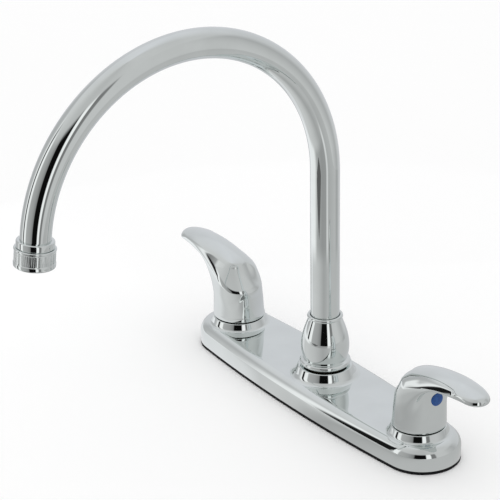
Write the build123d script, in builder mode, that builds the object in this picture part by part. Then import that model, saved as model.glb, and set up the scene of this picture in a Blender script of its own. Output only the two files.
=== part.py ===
from build123d import *
import os
from math import acos, atan2, cos, degrees, pi, radians, sin, sqrt

# Two handle deck faucet. Millimetres, +Z up.
# The origin is on the sink deck, under the gasket, on the spout's axis.
# +X is the cold side, to the user's right, and the spout reaches forward along -Y.

# Clearances between pieces
running_clearance = 0.05
thread_clearance = 0.05
seat_clearance = 0.10
loose_gap = 0.30
air_gap = 0.40

# Deck plate: gasket and chromed cover
handle_spacing = 203.2
cover_end_reach = 29.1
cover_end_radius = 26.1
cover_width = 61.7
gasket_thickness = 1.8
cover_top = 17.6
cover_wall = 2.2
cover_edge_radius = 8.0
collar_flare = 3.6
handle_collar_step = 0.3
handle_collar_top = 22.9
spout_collar_top = 25.2
spout_collar_wall = 5.4

# Sink deck and what clamps the faucet to it
deck_thickness = 20.0
washer_thickness = 1.6
washer_rim = 9.0
lock_nut_height = 12.0
lock_nut_wall = 5.5
shank_radius = 10.475
supply_radius = 10.3
supply_length = 18.0
inlet_radius = 6.0
hexagon_sides = 6

# Valve: brass body, ceramic cartridge and its stem
seat_height = 1.0
seal_thickness = 2.0
seal_width = 3.0
disc_radius = 7.3
disc_thickness = 2.6
disc_port_radius = 1.9
disc_port_offset = 3.8
chamber_depth = 1.6
stem_radius = 4.0
stem_bar_height = 2.6
stem_bar_width = 3.2
stem_past_screw = 0.55
cartridge_wall = 1.5
sleeve_wall = 3.4
cartridge_flange_thickness = 2.0
cartridge_top = 36.7
window_width = 9.0
body_wall = 6.0
neck_wall = 2.0
neck_top = 27.0
bonnet_wall = 1.5
bonnet_lip = 3.0
stem_o_ring_height = 22.0
stem_o_ring_section = 1.0
clip_thickness = 1.1
clip_width = 2.6
clip_groove = 0.7

# Handle: hub and lever in one casting, set screw and index button
hub_wall = 2.45
hub_air = 1.4
hub_rim = 23.7
hub_cavity_top = 40.0
arch_start = 28.0
arch_lean_radius = 62.5
arch_lean_angle = 19.4
arch_back_radius = 27.6
arch_back_angle = 53.0
arch_top_radius = 114.0
lever_length = 65.0
lever_tip_radius = 9.7
lever_tip_thickness = 4.6
lever_root_height = 59.0
lever_under_radius = 115.0
crown_radius = 21.1
button_height = 48.0
button_radius = 4.6
button_depth = 4.5
button_proud = 0.5
screw_radius = 2.45
screw_length = 7.0
screw_socket_radius = 1.3
screw_socket_depth = 3.0

# Waterway between the valves and the spout
cross_tube_radius = 5.0
cross_tube_wall = 1.0
cross_tube_height = 8.5
socket_depth = 4.0
spout_body_bottom = 2.2
spout_body_floor = 1.6
spout_body_top = 14.5
spout_body_step = 2.0

# Spout: gooseneck tube, its swivel and its bell nut
tube_radius = 9.9
tube_wall = 1.5
spout_straight = 168.2
spout_bend_radius = 111.2
spout_bend_angle = 174.0
spout_tail = 1.0
tail_wall = 2.2
tail_height = 12.0
tail_spigot = 9.0
spout_ring_section = 2.0
spout_ring_shares = (0.3, 0.7)
nipple_wall = 2.1
nipple_top = 42.0
bush_wall = 1.0
bush_depth = 12.0
bush_flange = 2.5
retaining_ring_thickness = 1.4
retaining_ring_width = 2.5
retaining_ring_gap = 6.0
retaining_groove = 0.6
nut_bottom = 26.2
nut_height = 36.8
nut_wall = 3.2
nut_foot_height = 3.4
nut_foot_rise = 0.9
nut_waist_drop = 1.4
nut_bulb_share = 0.42
nut_bead_height = 2.8
nut_bead_wall = 1.8
nut_round = 0.7

# Outlet: end collar, aerator housing and what it holds
collar_length = 4.6
collar_wall = 2.3
collar_round = 0.8
collar_thread = 4.4
collar_thread_wall = 1.3
housing_bead = 2.0
housing_bead_rise = 0.4
housing_knurl = 7.1
housing_wall = 1.8
housing_step = 0.6
housing_lip = 3.6
knurl_count = 44
knurl_depth = 0.45
aerator_washer = 1.6
outlet_lip = 1.3
insert_hole_share = 0.125
insert_inner_share = 0.36
insert_inner_holes = 6
insert_outer_share = 0.68
insert_outer_holes = 12
screen_thickness = 0.8
screen_hole_radius = 0.55
screen_hole_pitch = 2.2

# Places and sizes that follow from the ones above
handle_offset = handle_spacing / 2
cavity_top = cover_top - cover_wall
disc_bore = disc_radius + running_clearance
barrel_radius = disc_bore + cartridge_wall
valve_bore = barrel_radius + seat_clearance
neck_radius = valve_bore + neck_wall
body_radius = valve_bore + body_wall
body_bottom = gasket_thickness / 2
bonnet_bore = neck_radius + thread_clearance
bonnet_corner_radius = (bonnet_bore + bonnet_wall) / cos(pi / hexagon_sides)
hub_bore = bonnet_corner_radius + hub_air
hub_radius = hub_bore + hub_wall
handle_collar_radius = hub_radius + handle_collar_step
handle_hole_radius = neck_radius + air_gap
cartridge_bottom = seat_height + seal_thickness
moving_disc_bottom = cartridge_bottom + disc_thickness + running_clearance
stem_bottom = moving_disc_bottom + disc_thickness
stem_shoulder = stem_bottom + stem_bar_height
cartridge_roof = stem_shoulder + loose_gap
flange_radius = neck_radius - loose_gap
bonnet_top = neck_top + cartridge_flange_thickness + thread_clearance + bonnet_lip
sleeve_radius = stem_radius + running_clearance + sleeve_wall
clip_bottom = cartridge_top + loose_gap
stem_top = button_height + screw_radius + stem_past_screw
tip_center = lever_length - lever_tip_radius
washer_top = -deck_thickness
lock_nut_top = washer_top - washer_thickness
supply_top = lock_nut_top - lock_nut_height
supply_bottom = supply_top - supply_length

tube_bore = tube_radius - tube_wall
socket_radius = tube_radius + bush_wall
nipple_radius = socket_radius + nipple_wall
spout_hole_radius = nipple_radius + air_gap
spout_collar_radius = spout_hole_radius + spout_collar_wall
spout_body_radius = nipple_radius + spout_body_step
tail_radius = socket_radius - loose_gap
tail_bottom = spout_body_top + air_gap
tube_bottom = tail_bottom + tail_height
bush_top = nipple_top + bush_flange
ring_bottom = bush_top + seat_clearance
nut_cavity_top = ring_bottom + retaining_ring_thickness + air_gap
nut_bore = nipple_radius + thread_clearance
nut_bulb_radius = nut_bore + nut_wall
nut_top = nut_bottom + nut_height
nut_mouth_radius = tube_radius + air_gap
nut_foot_radius = nut_bulb_radius + nut_foot_rise
nut_waist_radius = nut_bulb_radius - nut_waist_drop
nut_bead_radius = nut_mouth_radius + nut_bead_wall

bend_turn = radians(spout_bend_angle)
bend_end_y = spout_bend_radius * (cos(bend_turn) - 1)
bend_end_z = spout_straight + spout_bend_radius * sin(bend_turn)
outlet_direction = Vector(0, -sin(bend_turn), cos(bend_turn))
collar_start = Vector(0, bend_end_y, bend_end_z) + outlet_direction * spout_tail
collar_end = collar_length + collar_thread
outlet_end = collar_length + housing_bead + housing_knurl + housing_lip
outlet_plane = Plane(origin=collar_start, x_dir=(1, 0, 0), z_dir=outlet_direction)
outlet_section = Plane(origin=collar_start, x_dir=outlet_plane.y_dir, z_dir=(1, 0, 0))
outlet_axis = Axis(collar_start, outlet_direction)

os.makedirs("parts", exist_ok=True)


# Plan outline of the deck plate: two long bowed sides that run into round ends
def plate_outline(inset):
    end_radius = cover_end_radius - inset
    half_width = cover_width / 2 - inset
    half_length = handle_offset + cover_end_reach - inset
    end_x = half_length - end_radius
    side_radius = (end_x**2 + half_width**2 - end_radius**2) / (2 * (half_width - end_radius))
    lean = atan2(side_radius - half_width, end_x)
    join_x = end_x + end_radius * cos(lean)
    join_y = end_radius * sin(lean)
    with BuildSketch() as outline:
        with BuildLine():
            ThreePointArc((-join_x, join_y), (0, half_width), (join_x, join_y))
            ThreePointArc((join_x, join_y), (half_length, 0), (join_x, -join_y))
            ThreePointArc((join_x, -join_y), (0, -half_width), (-join_x, -join_y))
            ThreePointArc((-join_x, -join_y), (-half_length, 0), (-join_x, join_y))
        make_face()
    return outline.sketch


# Rubber gasket sheet that seals the plate to the deck, with a hole for each valve
with BuildPart() as deck_gasket:
    with BuildSketch():
        add(plate_outline(0))
        with Locations((-handle_offset, 0), (handle_offset, 0)):
            Circle(body_radius + air_gap, mode=Mode.SUBTRACT)
    extrude(amount=gasket_thickness)
deck_gasket.part.label = "deck_gasket"
export_step(deck_gasket.part, "parts/deck_gasket.step")

# Hollow under the cover
with BuildPart() as cover_cavity:
    with BuildSketch(Plane.XY.offset(gasket_thickness)):
        add(plate_outline(cover_wall))
    extrude(amount=cavity_top - gasket_thickness)
    fillet(cover_cavity.faces().sort_by(Axis.Z)[-1].edges(), cover_edge_radius - cover_wall)

# Chromed cover: a shell with a raised collar for each handle and one for the spout
with BuildPart() as deck_cover:
    with BuildSketch(Plane.XY.offset(gasket_thickness)):
        add(plate_outline(0))
    extrude(amount=cover_top - gasket_thickness)
    fillet(deck_cover.faces().sort_by(Axis.Z)[-1].edges(), cover_edge_radius)
    for center_x, radius, top in (
        (-handle_offset, handle_collar_radius, handle_collar_top),
        (0, spout_collar_radius, spout_collar_top),
        (handle_offset, handle_collar_radius, handle_collar_top),
    ):
        flare_height = cover_top + collar_flare
        with BuildSketch(Plane(origin=(center_x, 0, 0), x_dir=(1, 0, 0), z_dir=(0, -1, 0))):
            with BuildLine():
                Polyline((radius, flare_height), (radius, top), (0, top), (0, cavity_top))
                Line((0, cavity_top), (radius + collar_flare, cavity_top))
                Line((radius + collar_flare, cavity_top), (radius + collar_flare, cover_top))
                CenterArc((radius + collar_flare, flare_height), collar_flare, 180, 90)
            make_face()
        revolve(axis=Axis((center_x, 0, 0), (0, 0, 1)))
    add(cover_cavity.part, mode=Mode.SUBTRACT)
    with BuildSketch(Plane.XY.offset(cavity_top)):
        with Locations((-handle_offset, 0), (handle_offset, 0)):
            Circle(handle_hole_radius)
        Circle(spout_hole_radius)
    extrude(amount=spout_collar_top, mode=Mode.SUBTRACT)
deck_cover.part.label = "deck_cover"
export_step(deck_cover.part, "parts/deck_cover.step")

# Steel washers and brass lock nuts that clamp the two shanks under the deck
with BuildPart() as lock_washers:
    with BuildSketch(Plane.XY.offset(washer_top)):
        with Locations((-handle_offset, 0), (handle_offset, 0)):
            Circle(shank_radius + washer_rim)
            Circle(shank_radius + seat_clearance, mode=Mode.SUBTRACT)
    extrude(amount=-washer_thickness)
lock_washers.part.label = "lock_washers"
export_step(lock_washers.part, "parts/lock_washers.step")

with BuildPart() as lock_nuts:
    with BuildSketch(Plane.XY.offset(lock_nut_top)):
        with Locations((-handle_offset, 0), (handle_offset, 0)):
            RegularPolygon(shank_radius + lock_nut_wall, hexagon_sides, major_radius=False)
            Circle(shank_radius + thread_clearance, mode=Mode.SUBTRACT)
    extrude(amount=-lock_nut_height)
lock_nuts.part.label = "lock_nuts"
export_step(lock_nuts.part, "parts/lock_nuts.step")

# Brass spout body: the cross tubes enter its sides and the spout swivels in its nipple
with BuildPart() as spout_body:
    with BuildSketch(Plane.XZ):
        Polygon(
            (0, spout_body_bottom),
            (spout_body_radius, spout_body_bottom),
            (spout_body_radius, spout_body_top),
            (nipple_radius, spout_body_top),
            (nipple_radius, nipple_top),
            (socket_radius, nipple_top),
            (socket_radius, spout_body_top),
            (inlet_radius, spout_body_top),
            (inlet_radius, spout_body_bottom + spout_body_floor),
            (0, spout_body_bottom + spout_body_floor),
            align=None,
        )
    revolve(axis=Axis.Z)
    with BuildSketch(Plane.YZ):
        with Locations((0, cross_tube_height)):
            Circle(cross_tube_radius - cross_tube_wall)
    extrude(amount=spout_body_radius, both=True, mode=Mode.SUBTRACT)
    for side in (-1, 1):
        with BuildSketch(Plane.YZ.offset(side * spout_body_radius)):
            with Locations((0, cross_tube_height)):
                Circle(cross_tube_radius + thread_clearance)
        extrude(amount=-side * socket_depth, mode=Mode.SUBTRACT)
spout_body.part.label = "spout_body"
export_step(spout_body.part, "parts/spout_body.step")

# Both valves, with their handles: the hot one is the cold one turned half round
for side_name, side in (("hot", -1), ("cold", 1)):
    seat = Vector(side * handle_offset, 0, 0)
    valve_axis = Axis(seat, (0, 0, 1))
    outward = Plane(origin=seat, x_dir=(side, 0, 0), z_dir=(0, 0, 1))
    section = Plane(origin=seat, x_dir=(side, 0, 0), z_dir=(0, -side, 0))
    across = Plane.YZ.offset(seat.X)

    # Brass valve body: bonnet thread above, shank through the deck and supply thread below
    with BuildPart() as valve_body:
        with BuildSketch(section):
            Polygon(
                (inlet_radius, supply_bottom),
                (supply_radius, supply_bottom),
                (supply_radius, supply_top),
                (shank_radius, supply_top),
                (shank_radius, body_bottom),
                (body_radius, body_bottom),
                (body_radius, cavity_top - air_gap),
                (neck_radius, cavity_top - air_gap),
                (neck_radius, neck_top),
                (valve_bore, neck_top),
                (valve_bore, stem_shoulder),
                (valve_bore + chamber_depth, stem_shoulder),
                (valve_bore + chamber_depth, moving_disc_bottom),
                (valve_bore, moving_disc_bottom),
                (valve_bore, seat_height),
                (inlet_radius, seat_height),
                align=None,
            )
        revolve(axis=valve_axis)
        with BuildSketch(across):
            with Locations((0, cross_tube_height)):
                Circle(cross_tube_radius - cross_tube_wall)
        extrude(amount=-side * body_radius, mode=Mode.SUBTRACT)
        with BuildSketch(Plane.YZ.offset(side * (handle_offset - body_radius))):
            with Locations((0, cross_tube_height)):
                Circle(cross_tube_radius + thread_clearance)
        extrude(amount=side * socket_depth, mode=Mode.SUBTRACT)
    valve_body.part.label = f"{side_name}_valve_body"
    export_step(valve_body.part, f"parts/{side_name}_valve_body.step")

    # Copper cross tube, soldered into the valve body and the spout body
    with BuildPart() as cross_tube:
        tube_start = spout_body_radius - socket_depth
        tube_end = handle_offset - body_radius + socket_depth
        with BuildSketch(Plane.YZ.offset(side * tube_start)):
            with Locations((0, cross_tube_height)):
                Circle(cross_tube_radius)
                Circle(cross_tube_radius - cross_tube_wall, mode=Mode.SUBTRACT)
        extrude(amount=side * (tube_end - tube_start))
    cross_tube.part.label = f"{side_name}_cross_tube"
    export_step(cross_tube.part, f"parts/{side_name}_cross_tube.step")

    # Rubber seal between the valve seat and the cartridge
    with BuildPart() as seat_seal:
        with BuildSketch(outward.offset(seat_height)):
            Circle(barrel_radius)
            Circle(barrel_radius - seal_width, mode=Mode.SUBTRACT)
        extrude(amount=seal_thickness)
    seat_seal.part.label = f"{side_name}_seat_seal"
    export_step(seat_seal.part, f"parts/{side_name}_seat_seal.step")

    # Cartridge body: holds the discs, guides the stem and lets water out through two windows
    with BuildPart() as cartridge_body:
        with BuildSketch(section):
            Polygon(
                (disc_bore, cartridge_bottom),
                (barrel_radius, cartridge_bottom),
                (barrel_radius, neck_top),
                (flange_radius, neck_top),
                (flange_radius, neck_top + cartridge_flange_thickness),
                (sleeve_radius, neck_top + cartridge_flange_thickness),
                (sleeve_radius, cartridge_top),
                (stem_radius + running_clearance, cartridge_top),
                (stem_radius + running_clearance, cartridge_roof),
                (disc_bore, cartridge_roof),
                align=None,
            )
        revolve(axis=valve_axis)
        with BuildSketch(across):
            with Locations((0, (moving_disc_bottom + stem_shoulder) / 2)):
                Rectangle(window_width, stem_shoulder - moving_disc_bottom)
        extrude(amount=barrel_radius, both=True, mode=Mode.SUBTRACT)
    cartridge_body.part.label = f"{side_name}_cartridge_body"
    export_step(cartridge_body.part, f"parts/{side_name}_cartridge_body.step")

    # Ceramic discs: the ports of the moving one come over the fixed one's in a quarter turn
    with BuildPart() as fixed_disc:
        with BuildSketch(outward.offset(cartridge_bottom)):
            Circle(disc_radius)
            with Locations((0, disc_port_offset), (0, -disc_port_offset)):
                Circle(disc_port_radius, mode=Mode.SUBTRACT)
        extrude(amount=disc_thickness)
    fixed_disc.part.label = f"{side_name}_fixed_disc"
    export_step(fixed_disc.part, f"parts/{side_name}_fixed_disc.step")

    with BuildPart() as moving_disc:
        with BuildSketch(outward.offset(moving_disc_bottom)):
            Circle(disc_radius - running_clearance)
            with Locations((disc_port_offset, 0), (-disc_port_offset, 0)):
                Circle(disc_port_radius, mode=Mode.SUBTRACT)
        extrude(amount=disc_thickness)
    moving_disc.part.label = f"{side_name}_moving_disc"
    export_step(moving_disc.part, f"parts/{side_name}_moving_disc.step")

    # Brass stem: a bar drives the moving disc, with grooves for the o-ring and the clip above
    with BuildPart() as stem:
        bar_radius = disc_radius - loose_gap
        bar_length = 2 * sqrt(bar_radius**2 - (stem_bar_width / 2) ** 2)
        o_ring_groove = stem_radius + running_clearance / 2 - stem_o_ring_section
        with BuildSketch(outward.offset(stem_bottom)):
            Rectangle(stem_bar_width, bar_length)
        extrude(amount=stem_bar_height)
        with BuildSketch(section):
            Polygon(
                (0, stem_shoulder),
                (stem_radius, stem_shoulder),
                (stem_radius, stem_o_ring_height),
                (o_ring_groove, stem_o_ring_height),
                (o_ring_groove, stem_o_ring_height + stem_o_ring_section),
                (stem_radius, stem_o_ring_height + stem_o_ring_section),
                (stem_radius, clip_bottom),
                (stem_radius - clip_groove, clip_bottom),
                (stem_radius - clip_groove, clip_bottom + clip_thickness),
                (stem_radius, clip_bottom + clip_thickness),
                (stem_radius, stem_top),
                (0, stem_top),
                align=None,
            )
        revolve(axis=valve_axis)
    stem.part.label = f"{side_name}_stem"
    export_step(stem.part, f"parts/{side_name}_stem.step")

    with BuildPart() as stem_o_ring:
        ring_middle = o_ring_groove + stem_o_ring_section / 2
        with BuildSketch(section):
            with Locations((ring_middle, stem_o_ring_height + stem_o_ring_section / 2)):
                Circle(stem_o_ring_section / 2)
        revolve(axis=valve_axis)
    stem_o_ring.part.label = f"{side_name}_stem_o_ring"
    export_step(stem_o_ring.part, f"parts/{side_name}_stem_o_ring.step")

    # Spring clip that keeps the stem in the cartridge, open on one side
    with BuildPart() as stem_clip:
        with BuildSketch(outward.offset(clip_bottom)):
            Circle(stem_radius - clip_groove + clip_width)
            Circle(stem_radius - clip_groove, mode=Mode.SUBTRACT)
            with Locations((0, stem_radius)):
                Rectangle(stem_radius, 2 * stem_radius, mode=Mode.SUBTRACT)
        extrude(amount=clip_thickness)
    stem_clip.part.label = f"{side_name}_stem_clip"
    export_step(stem_clip.part, f"parts/{side_name}_stem_clip.step")

    # Hexagonal bonnet nut: holds the cartridge down and clamps the cover to the valve body
    with BuildPart() as bonnet_nut:
        with BuildSketch(outward.offset(handle_collar_top)):
            RegularPolygon(bonnet_corner_radius, hexagon_sides)
            Circle(sleeve_radius + seat_clearance, mode=Mode.SUBTRACT)
        extrude(amount=bonnet_top - handle_collar_top)
        with BuildSketch(outward.offset(handle_collar_top)):
            Circle(bonnet_bore)
        extrude(amount=bonnet_top - bonnet_lip - handle_collar_top, mode=Mode.SUBTRACT)
    bonnet_nut.part.label = f"{side_name}_bonnet_nut"
    export_step(bonnet_nut.part, f"parts/{side_name}_bonnet_nut.step")

    # Handle: a hollow hub that arches over into a leaf shaped lever
    lean_end = 180 - arch_lean_angle
    back_end = lean_end - arch_back_angle
    lean_direction = Vector(cos(radians(lean_end)), sin(radians(lean_end)))
    back_direction = Vector(cos(radians(back_end)), sin(radians(back_end)))
    lean_center = Vector(arch_lean_radius - hub_radius - seat_clearance, arch_start)
    back_center = lean_center + lean_direction * (arch_lean_radius - arch_back_radius)
    top_center = back_center + back_direction * (arch_back_radius - arch_top_radius)
    past_tip = lever_length + air_gap
    tip_rise = sqrt(arch_top_radius**2 - (lever_length - top_center.X) ** 2)
    tip_bottom = top_center.Y + tip_rise - lever_tip_thickness
    arch_clear = top_center.Y + arch_top_radius + air_gap
    top_turn = back_end - degrees(acos((past_tip - top_center.X) / arch_top_radius))
    crown_reach = hub_radius + air_gap
    crown_edge = crown_radius - sqrt(crown_radius**2 - crown_reach**2)
    cap_depth = 2 * arch_back_radius
    with BuildPart() as handle:
        with BuildSketch(outward.offset(hub_rim)):
            Circle(hub_radius)
            with Locations((tip_center, 0)):
                Circle(lever_tip_radius)
            make_hull()
        extrude(amount=arch_clear - hub_rim)
        with BuildSketch(section):
            with BuildLine():
                Polyline(
                    (past_tip, tip_bottom),
                    (past_tip, hub_rim),
                    (0, hub_rim),
                    (0, lever_root_height),
                    (hub_radius, lever_root_height),
                )
                RadiusArc((hub_radius, lever_root_height), (past_tip, tip_bottom), lever_under_radius)
            make_face()
        extrude(amount=hub_radius, both=True, mode=Mode.SUBTRACT)
        with BuildSketch(outward.offset(hub_rim)):
            Circle(hub_radius)
        extrude(amount=lever_root_height - hub_rim)
        with BuildLine(section) as arch_line:
            CenterArc((lean_center.X, lean_center.Y), arch_lean_radius, 180, -arch_lean_angle)
            CenterArc((back_center.X, back_center.Y), arch_back_radius, lean_end, -arch_back_angle)
            CenterArc((top_center.X, top_center.Y), arch_top_radius, back_end, -top_turn)
        arch_foot = seat + Vector(-side * (hub_radius + seat_clearance), 0, arch_start)
        with BuildSketch(Plane(origin=arch_foot, x_dir=(side, 0, 0), z_dir=(0, 0, 1))):
            with BuildLine():
                ThreePointArc((crown_edge, -crown_reach), (0, 0), (crown_edge, crown_reach))
                Polyline(
                    (crown_edge, crown_reach),
                    (-cap_depth, crown_reach),
                    (-cap_depth, -crown_reach),
                    (crown_edge, -crown_reach),
                )
            make_face()
        sweep(path=arch_line.line, mode=Mode.SUBTRACT)
        with BuildSketch(outward.offset(hub_rim)):
            Circle(hub_bore)
        extrude(amount=hub_cavity_top - hub_rim, mode=Mode.SUBTRACT)
        with BuildSketch(outward.offset(hub_cavity_top)):
            Circle(stem_radius + thread_clearance)
        extrude(amount=stem_top + seat_clearance - hub_cavity_top, mode=Mode.SUBTRACT)
        with BuildSketch(across):
            with Locations((0, button_height)):
                Circle(screw_radius + thread_clearance)
        extrude(amount=side * hub_radius, mode=Mode.SUBTRACT)
        button_seat = hub_radius + button_proud - button_depth
        with BuildSketch(Plane.YZ.offset(side * (handle_offset + button_seat))):
            with Locations((0, button_height)):
                Circle(button_radius + thread_clearance)
        extrude(amount=side * button_depth, mode=Mode.SUBTRACT)
    handle.part.label = f"{side_name}_handle"
    export_step(handle.part, f"parts/{side_name}_handle.step")

    # Set screw that grips the stem, hidden behind the coloured index button
    with BuildPart() as set_screw:
        with BuildSketch(Plane.YZ.offset(side * (handle_offset + stem_radius))):
            with Locations((0, button_height)):
                Circle(screw_radius)
        extrude(amount=side * screw_length)
        socket_start = handle_offset + stem_radius + screw_length - screw_socket_depth
        with BuildSketch(Plane.YZ.offset(side * socket_start)):
            with Locations((0, button_height)):
                RegularPolygon(screw_socket_radius, hexagon_sides)
        extrude(amount=side * screw_socket_depth, mode=Mode.SUBTRACT)
    set_screw.part.label = f"{side_name}_set_screw"
    export_step(set_screw.part, f"parts/{side_name}_set_screw.step")

    with BuildPart() as index_button:
        with BuildSketch(Plane.YZ.offset(side * (handle_offset + button_seat))):
            with Locations((0, button_height)):
                Circle(button_radius)
        extrude(amount=side * button_depth)
        face_edge = index_button.edges().sort_by(Axis.X)[-1 if side > 0 else 0]
        fillet(face_edge, button_proud)
    index_button.part.label = f"{side_name}_index_button"
    export_step(index_button.part, f"parts/{side_name}_index_button.step")

# Gooseneck tube, with a groove near its foot for the retaining ring
with BuildPart() as spout_tube:
    tail_end = collar_start + outlet_direction * collar_end
    with BuildLine(Plane.YZ) as tube_line:
        Line((0, tube_bottom), (0, spout_straight))
        CenterArc((-spout_bend_radius, spout_straight), spout_bend_radius, 0, spout_bend_angle)
        Line((bend_end_y, bend_end_z), (tail_end.Y, tail_end.Z))
    with BuildSketch(Plane.XY.offset(tube_bottom)):
        Circle(tube_radius)
        Circle(tube_bore, mode=Mode.SUBTRACT)
    sweep(path=tube_line.line)
    with BuildSketch(Plane.XY.offset(ring_bottom)):
        Circle(tube_radius + seat_clearance)
        Circle(tube_radius - retaining_groove, mode=Mode.SUBTRACT)
    extrude(amount=retaining_ring_thickness, mode=Mode.SUBTRACT)
spout_tube.part.label = "spout_tube"
export_step(spout_tube.part, "parts/spout_tube.step")

# Brass tail brazed into the tube's foot, with two grooves for o-rings
spout_ring_outer = socket_radius - running_clearance
spout_ring_inner = spout_ring_outer - spout_ring_section
spout_ring_heights = [tail_bottom + tail_height * share for share in spout_ring_shares]
with BuildPart() as spout_tail_piece:
    with BuildSketch(Plane.XY.offset(tail_bottom)):
        Circle(tail_radius)
    extrude(amount=tail_height)
    with BuildSketch(Plane.XY.offset(tube_bottom)):
        Circle(tube_bore - thread_clearance)
    extrude(amount=tail_spigot)
    with BuildSketch(Plane.XY.offset(tail_bottom)):
        Circle(tube_bore - tail_wall)
    extrude(amount=tail_height + tail_spigot, mode=Mode.SUBTRACT)
    for height in spout_ring_heights:
        with BuildSketch(Plane.XY.offset(height - spout_ring_section / 2)):
            Circle(socket_radius)
            Circle(spout_ring_inner, mode=Mode.SUBTRACT)
        extrude(amount=spout_ring_section, mode=Mode.SUBTRACT)
spout_tail_piece.part.label = "spout_tail_piece"
export_step(spout_tail_piece.part, "parts/spout_tail_piece.step")

with BuildPart() as spout_o_rings:
    for height in spout_ring_heights:
        with BuildSketch(Plane.XZ):
            with Locations(((spout_ring_inner + spout_ring_outer) / 2, height)):
                Circle(spout_ring_section / 2)
        revolve(axis=Axis.Z)
spout_o_rings.part.label = "spout_o_rings"
export_step(spout_o_rings.part, "parts/spout_o_rings.step")

# Plastic bush: the tube turns in it, and its flange carries the retaining ring
with BuildPart() as spout_bush:
    with BuildSketch(Plane.XY.offset(nipple_top - bush_depth)):
        Circle(socket_radius - running_clearance)
        Circle(tube_radius + running_clearance, mode=Mode.SUBTRACT)
    extrude(amount=bush_depth)
    with BuildSketch(Plane.XY.offset(nipple_top)):
        Circle(nipple_radius)
        Circle(tube_radius + running_clearance, mode=Mode.SUBTRACT)
    extrude(amount=bush_flange)
spout_bush.part.label = "spout_bush"
export_step(spout_bush.part, "parts/spout_bush.step")

with BuildPart() as spout_retaining_ring:
    with BuildSketch(Plane.XY.offset(ring_bottom)):
        Circle(tube_radius + retaining_ring_width)
        Circle(tube_radius - retaining_groove, mode=Mode.SUBTRACT)
        with Locations((0, tube_radius)):
            Rectangle(retaining_ring_gap, tube_radius, mode=Mode.SUBTRACT)
    extrude(amount=retaining_ring_thickness)
spout_retaining_ring.part.label = "spout_retaining_ring"
export_step(spout_retaining_ring.part, "parts/spout_retaining_ring.step")

# Bell nut: screwed on the nipple, it keeps the retaining ring and so the spout down
with BuildPart() as spout_nut:
    foot_top = nut_bottom + nut_foot_height
    bead_bottom = nut_top - nut_bead_height
    bulb_height = foot_top + nut_bulb_share * (bead_bottom - foot_top)
    with BuildSketch(Plane.XZ):
        with BuildLine():
            Polyline(
                (nut_foot_radius - nut_round, nut_bottom),
                (nut_bore, nut_bottom),
                (nut_bore, nut_cavity_top),
                (nut_mouth_radius, nut_cavity_top),
                (nut_mouth_radius, nut_top),
                (nut_bead_radius - nut_round, nut_top),
            )
            ThreePointArc(
                (nut_bead_radius - nut_round, nut_top),
                (nut_bead_radius, nut_top - nut_bead_height / 2),
                (nut_bead_radius - nut_round, bead_bottom),
            )
            ThreePointArc(
                (nut_bead_radius - nut_round, bead_bottom),
                (nut_bulb_radius, bulb_height),
                (nut_waist_radius, foot_top),
            )
            Line((nut_waist_radius, foot_top), (nut_foot_radius - nut_round, foot_top))
            ThreePointArc(
                (nut_foot_radius - nut_round, foot_top),
                (nut_foot_radius, nut_bottom + nut_foot_height / 2),
                (nut_foot_radius - nut_round, nut_bottom),
            )
        make_face()
    revolve(axis=Axis.Z)
spout_nut.part.label = "spout_nut"
export_step(spout_nut.part, "parts/spout_nut.step")

# Threaded collar brazed on the tube's end, for the aerator
thread_radius = tube_radius + thread_clearance + collar_thread_wall
with BuildPart() as spout_end_collar:
    with BuildSketch(outlet_plane):
        Circle(tube_radius + collar_wall)
    extrude(amount=collar_length)
    rims = spout_end_collar.edges().filter_by(GeomType.CIRCLE)
    fillet(rims.sort_by_distance(collar_start)[0], collar_round)
    with BuildSketch(outlet_plane.offset(collar_length)):
        Circle(thread_radius)
    extrude(amount=collar_thread)
    with BuildSketch(outlet_plane):
        Circle(tube_radius + thread_clearance)
    extrude(amount=collar_end, mode=Mode.SUBTRACT)
spout_end_collar.part.label = "spout_end_collar"
export_step(spout_end_collar.part, "parts/spout_end_collar.step")

# Knurled aerator housing, screwed on the collar
housing_bore = thread_radius + thread_clearance
housing_radius = housing_bore + housing_wall
housing_bead_radius = housing_radius + housing_bead_rise
insert_radius = housing_bore - housing_step
knurl_start = collar_length + housing_bead
knurl_end = knurl_start + housing_knurl
with BuildPart() as aerator_housing:
    with BuildSketch(outlet_section):
        Polygon(
            (housing_bore, collar_length),
            (housing_bead_radius, collar_length),
            (housing_bead_radius, knurl_start),
            (housing_radius, knurl_start),
            (housing_radius, knurl_end),
            (housing_bead_radius, knurl_end),
            (housing_bead_radius - housing_bead_rise, outlet_end),
            (insert_radius - outlet_lip, outlet_end),
            (insert_radius - outlet_lip, outlet_end - outlet_lip),
            (insert_radius, outlet_end - outlet_lip),
            (insert_radius, collar_end),
            (housing_bore, collar_end),
            align=None,
        )
    revolve(axis=outlet_axis)
    with BuildSketch(outlet_plane.offset(knurl_start)):
        with PolarLocations(housing_radius, knurl_count):
            Circle(knurl_depth)
    extrude(amount=housing_knurl, mode=Mode.SUBTRACT)
aerator_housing.part.label = "aerator_housing"
export_step(aerator_housing.part, "parts/aerator_housing.step")

# What the housing clamps against the collar: rubber washer, plastic insert and steel screen
screen_start = outlet_end - outlet_lip - screen_thickness
with BuildPart() as aerator_washer_ring:
    with BuildSketch(outlet_plane.offset(collar_end)):
        Circle(insert_radius - seat_clearance)
        Circle(tube_bore, mode=Mode.SUBTRACT)
    extrude(amount=aerator_washer)
aerator_washer_ring.part.label = "aerator_washer"
export_step(aerator_washer_ring.part, "parts/aerator_washer.step")

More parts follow.
